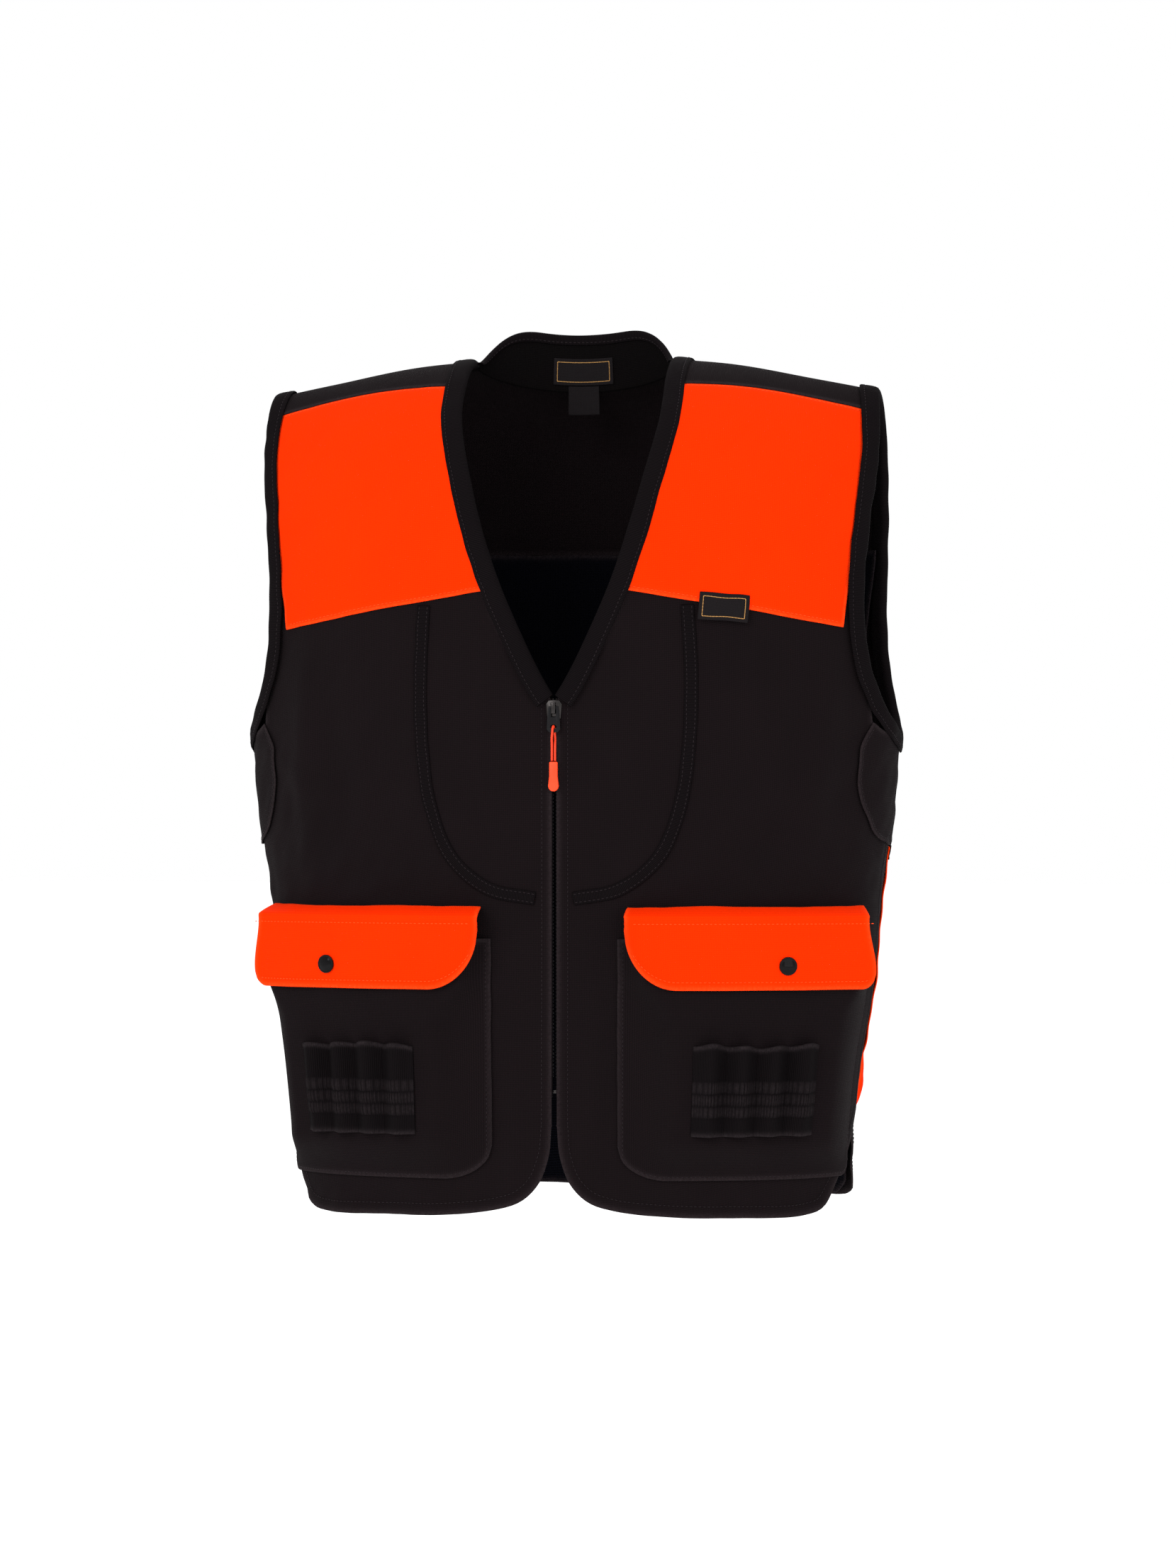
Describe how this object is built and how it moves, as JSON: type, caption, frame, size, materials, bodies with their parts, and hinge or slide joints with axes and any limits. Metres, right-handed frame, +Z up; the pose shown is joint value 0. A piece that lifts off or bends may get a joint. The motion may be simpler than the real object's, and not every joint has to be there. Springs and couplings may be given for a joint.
{
  "type": "hunting vest",
  "caption": "Sleeveless front-zip upland vest in dark canvas with orange shoulder patches, flapped bellows pockets with shell loops, and an orange rear game bag",
  "frame": {"origin": "Midway between the shoulders at the height of the shoulder ridge by the neck, where a hanger or the wearer carries the vest.", "axes": "+Z up, the front of the vest faces -Y, and +X is the wearer's left."},
  "size_m": [0.5462, 0.2744, 0.733],
  "materials": {
    "canvas": "matt brushed cotton canvas, warm black",
    "lining": "matt black polyester mesh",
    "blaze_cloth": "fluorescent orange woven polyester, slight sheen",
    "binding": "black ribbed binding tape",
    "elastic": "black gathered elastic",
    "dark_metal": "black oxide, satin",
    "black_plastic": "gloss black",
    "pull_orange": "matt orange rubber and cord",
    "label": "black woven label with a tan border"
  },
  "bodies": {
    "root": {"front_panel_right": "canvas", "front_panel_left": "canvas", "side_panel_right": "canvas", "side_panel_left": "canvas", "back_panel": "canvas", "back_yoke": "canvas", "back_lining": "lining", "shoulder_strap_right": "canvas", "shoulder_strap_left": "canvas", "shoulder_patch_right": "blaze_cloth", "shoulder_patch_left": "blaze_cloth", "collar_band": "canvas", "collar_binding": "binding", "neck_binding_right": "binding", "neck_binding_left": "binding", "armhole_binding_right": "binding", "armhole_binding_left": "binding", "chest_tape_right": "binding", "chest_tape_left": "binding", "pocket_pouch_right": "canvas", "pocket_pouch_left": "canvas", "flap_band_right": "blaze_cloth", "flap_band_left": "blaze_cloth", "shell_loops_right": "elastic", "shell_loops_left": "elastic", "snap_stud_right": "dark_metal", "snap_stud_left": "dark_metal", "zip_tape_right": "binding", "zip_tape_left": "binding", "zip_teeth_right": "black_plastic", "zip_teeth_left": "black_plastic", "zip_top_stop_right": "dark_metal", "zip_top_stop_left": "dark_metal", "zip_retainer_box": "dark_metal", "zip_insert_pin": "dark_metal", "game_bag": "blaze_cloth", "game_bag_binding": "binding", "chest_label": "label", "neck_label": "label"},
    "zip_slider": {"slider_body": "dark_metal"},
    "zip_tab": {"pull_tab": "dark_metal"},
    "zip_pull": {"pull_cord": "pull_orange", "pull_grip": "pull_orange"},
    "flap_right": {"pocket_flap_right": "blaze_cloth", "snap_socket_right": "dark_metal", "snap_cap_right": "black_plastic"},
    "flap_left": {"pocket_flap_left": "blaze_cloth", "snap_socket_left": "dark_metal", "snap_cap_left": "black_plastic"}
  },
  "joints": [
    {"name": "zip_slide", "type": "slide", "parent": "root", "child": "zip_slider", "axis": [0, 0, -1], "range_m": [0, 0.293]},
    {"name": "tab_flip", "type": "hinge", "parent": "zip_slider", "child": "zip_tab", "pos_m": [0, -0.1265, -0.2862], "axis": [-1, 0, 0], "range_deg": [0, 160]},
    {"name": "pull_swing", "type": "hinge", "parent": "zip_tab", "child": "zip_pull", "pos_m": [0, -0.1265, -0.3016], "axis": [0, 1, 0], "range_deg": [-40, 40]},
    {"name": "flap_right_lift", "type": "hinge", "parent": "root", "child": "flap_right", "pos_m": [-0.16625, -0.12426, -0.4556], "axis": [-0.9482, 0.3177, 0], "range_deg": [0, 150]},
    {"name": "flap_left_lift", "type": "hinge", "parent": "root", "child": "flap_left", "pos_m": [0.16625, -0.12426, -0.4556], "axis": [-0.9482, -0.3177, 0], "range_deg": [0, 150]}
  ]
}
